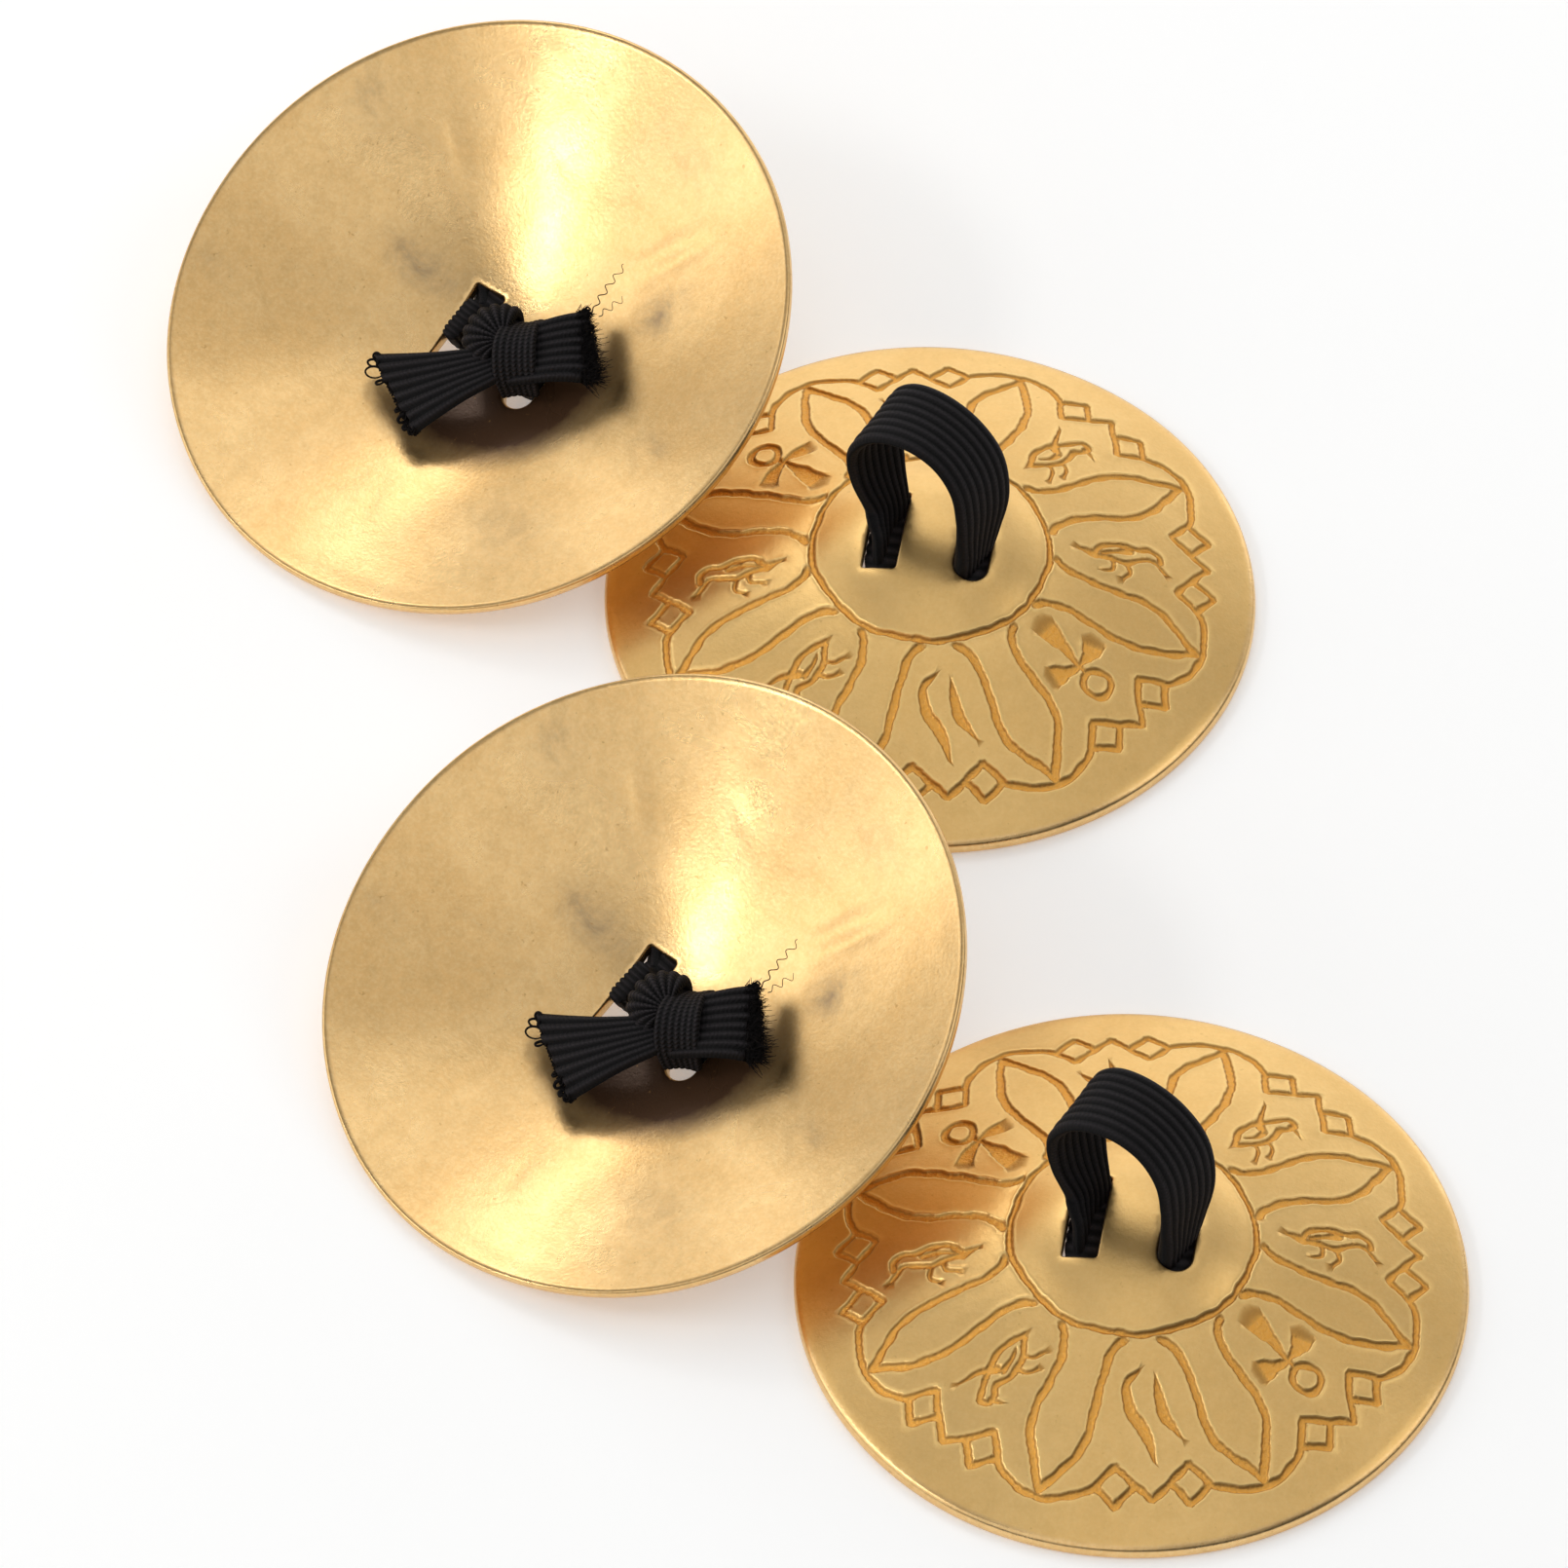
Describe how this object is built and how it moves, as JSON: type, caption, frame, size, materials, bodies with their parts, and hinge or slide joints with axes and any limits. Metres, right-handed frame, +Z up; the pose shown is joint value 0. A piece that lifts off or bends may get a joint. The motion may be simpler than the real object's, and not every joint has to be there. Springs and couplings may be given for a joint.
{
  "type": "finger cymbals",
  "caption": "Set of finger cymbals in two pairs: dished brass discs with a raised dome, an engraved petal ring and a knotted elastic finger strap.",
  "frame": {"origin": "centre of the whole set's footprint, on the surface it lies on", "axes": "+Z up, +Y along the longest side of the layout towards the left hand's pair at the back, +X to the right of somebody looking along +Y"},
  "size_m": [0.1154, 0.1565, 0.024],
  "materials": {
    "brass": "satin, lightly tarnished, with engraved lines a little brighter",
    "elastic": "matte black ribbed braided elastic"
  },
  "bodies": {
    "left_middle_cymbal": {"left_middle_cymbal": "brass"},
    "left_middle_strap": {"left_middle_strap_knot": "elastic", "left_middle_strap_tail_a": "elastic", "left_middle_strap_tail_b": "elastic"},
    "left_middle_loop": {"left_middle_strap_loop": "elastic"},
    "left_thumb_cymbal": {"left_thumb_cymbal": "brass"},
    "left_thumb_strap": {"left_thumb_strap_knot": "elastic", "left_thumb_strap_tail_a": "elastic", "left_thumb_strap_tail_b": "elastic"},
    "left_thumb_loop": {"left_thumb_strap_loop": "elastic"},
    "right_middle_cymbal": {"right_middle_cymbal": "brass"},
    "right_middle_strap": {"right_middle_strap_knot": "elastic", "right_middle_strap_tail_a": "elastic", "right_middle_strap_tail_b": "elastic"},
    "right_middle_loop": {"right_middle_strap_loop": "elastic"},
    "right_thumb_cymbal": {"right_thumb_cymbal": "brass"},
    "right_thumb_strap": {"right_thumb_strap_knot": "elastic", "right_thumb_strap_tail_a": "elastic", "right_thumb_strap_tail_b": "elastic"},
    "right_thumb_loop": {"right_thumb_strap_loop": "elastic"}
  },
  "joints": [
    {"name": "left_thumb_lift", "type": "slide", "parent": "left_middle_cymbal", "child": "left_thumb_cymbal", "axis": [0, 0, 1], "range_m": [0, 0.1]},
    {"name": "right_pair_lift", "type": "slide", "parent": "left_middle_cymbal", "child": "right_middle_cymbal", "axis": [0, 0, 1], "range_m": [0, 0.1]},
    {"name": "right_thumb_lift", "type": "slide", "parent": "right_middle_cymbal", "child": "right_thumb_cymbal", "axis": [0, 0, 1], "range_m": [0, 0.1]},
    {"name": "left_middle_strap_slide", "type": "slide", "parent": "left_middle_cymbal", "child": "left_middle_strap", "axis": [0, 0, 1], "range_m": [0, 0.001]},
    {"name": "left_middle_loop_fold", "type": "hinge", "parent": "left_middle_strap", "child": "left_middle_loop", "pos_m": [0.01108, 0.02696, 0.0089], "axis": [0.9184, -0.3955, 0], "range_deg": [-65, 65], "stiffness_Nm_per_rad": 0.0005},
    {"name": "left_thumb_strap_slide", "type": "slide", "parent": "left_thumb_cymbal", "child": "left_thumb_strap", "axis": [0.2541, 0.2677, -0.9294], "range_m": [0, 0.001]},
    {"name": "left_thumb_loop_fold", "type": "hinge", "parent": "left_thumb_strap", "child": "left_thumb_loop", "pos_m": [-0.02742, 0.05239, 0.00355], "axis": [-0.7254, 0.6884, 0], "range_deg": [0, 130]},
    {"name": "right_middle_strap_slide", "type": "slide", "parent": "right_middle_cymbal", "child": "right_middle_strap", "axis": [0, 0, 1], "range_m": [0, 0.001]},
    {"name": "right_middle_loop_fold", "type": "hinge", "parent": "right_middle_strap", "child": "right_middle_loop", "pos_m": [0.02868, -0.04922, 0.0089], "axis": [0.9184, -0.3955, 0], "range_deg": [-65, 65], "stiffness_Nm_per_rad": 0.0005},
    {"name": "right_thumb_strap_slide", "type": "slide", "parent": "right_thumb_cymbal", "child": "right_thumb_strap", "axis": [0.2834, 0.2499, -0.9259], "range_m": [0, 0.001]},
    {"name": "right_thumb_loop_fold", "type": "hinge", "parent": "right_thumb_strap", "child": "right_thumb_loop", "pos_m": [-0.0112, -0.02378, 0.00383], "axis": [-0.6613, 0.7501, 0], "range_deg": [0, 130]}
  ]
}
